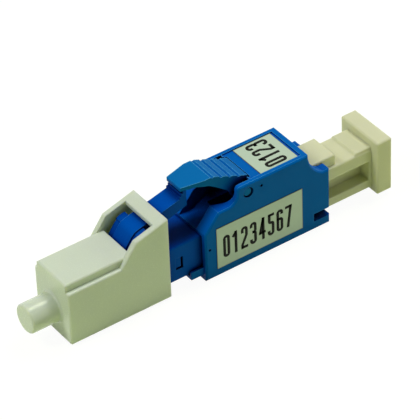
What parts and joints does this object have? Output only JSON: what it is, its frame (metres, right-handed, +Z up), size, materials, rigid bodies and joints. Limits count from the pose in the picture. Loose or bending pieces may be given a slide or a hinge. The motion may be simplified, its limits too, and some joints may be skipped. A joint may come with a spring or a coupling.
{
  "type": "fibre optic attenuator",
  "caption": "Plug-in fibre optic attenuator: blue body with a latch trigger, a plug nose under a white dust cap, and a rear port closed by a cream dust plug.",
  "frame": {"origin": "middle of the flat underside of the rear body", "axes": "+X along the fibre from the plug to the port, +Y across, +Z up through the trigger"},
  "size_m": [0.0441, 0.0064, 0.0119],
  "materials": {
    "rear_body": "satin moulded blue polymer",
    "plug_housing": "satin moulded blue polymer",
    "latch_arm": "satin moulded blue polymer",
    "trigger": "satin moulded blue polymer, ribbed",
    "dust_cap": "soft white polyethylene",
    "dust_plug": "soft cream polyethylene",
    "ferrule": "ground zirconia",
    "attenuating_fibre": "doped silica",
    "ferrule_flange": "plated metal",
    "ferrule_spring": "bright spring wire",
    "spring_retainer": "satin moulded blue polymer",
    "sleeve_holder": "moulded white polymer",
    "split_sleeve": "ground zirconia",
    "top_label": "coated label stock",
    "side_label": "coated label stock"
  },
  "bodies": {
    "housing": {"rear_body": "rear_body", "plug_housing": "plug_housing", "spring_retainer": "spring_retainer", "sleeve_holder": "sleeve_holder", "split_sleeve": "split_sleeve", "ferrule_spring": "ferrule_spring", "top_label": "top_label", "side_label": "side_label"},
    "ferrule_assembly": {"ferrule": "ferrule", "ferrule_flange": "ferrule_flange", "attenuating_fibre": "attenuating_fibre"},
    "latch": {"latch_arm": "latch_arm"},
    "trigger_lever": {"trigger": "trigger"},
    "front_cap": {"dust_cap": "dust_cap"},
    "rear_plug": {"dust_plug": "dust_plug"}
  },
  "joints": [
    {"name": "trigger_press", "type": "hinge", "parent": "housing", "child": "trigger_lever", "pos_m": [-0.0025, 0, 0.00915], "axis": [0, -1, 0], "range_deg": [0, 10], "stiffness_Nm_per_rad": 0.002},
    {"name": "latch_flex", "type": "hinge", "parent": "housing", "child": "latch", "pos_m": [-0.0168, 0, 0.00597], "axis": [0, 1, 0], "range_deg": [0, 8], "stiffness_Nm_per_rad": 0.004},
    {"name": "cap_pull", "type": "slide", "parent": "housing", "child": "front_cap", "axis": [-1, 0, 0], "range_m": [0, 0.016]},
    {"name": "plug_pull", "type": "slide", "parent": "housing", "child": "rear_plug", "axis": [1, 0, 0], "range_m": [0, 0.01]},
    {"name": "ferrule_float", "type": "slide", "parent": "housing", "child": "ferrule_assembly", "axis": [1, 0, 0], "range_m": [0, 0.0006], "stiffness_N_per_m": 1500, "deforming": ["ferrule_spring"]}
  ],
  "couplings": [
    {"joint": "latch_flex", "follows": "trigger_press", "ratio": 0.77}
  ]
}
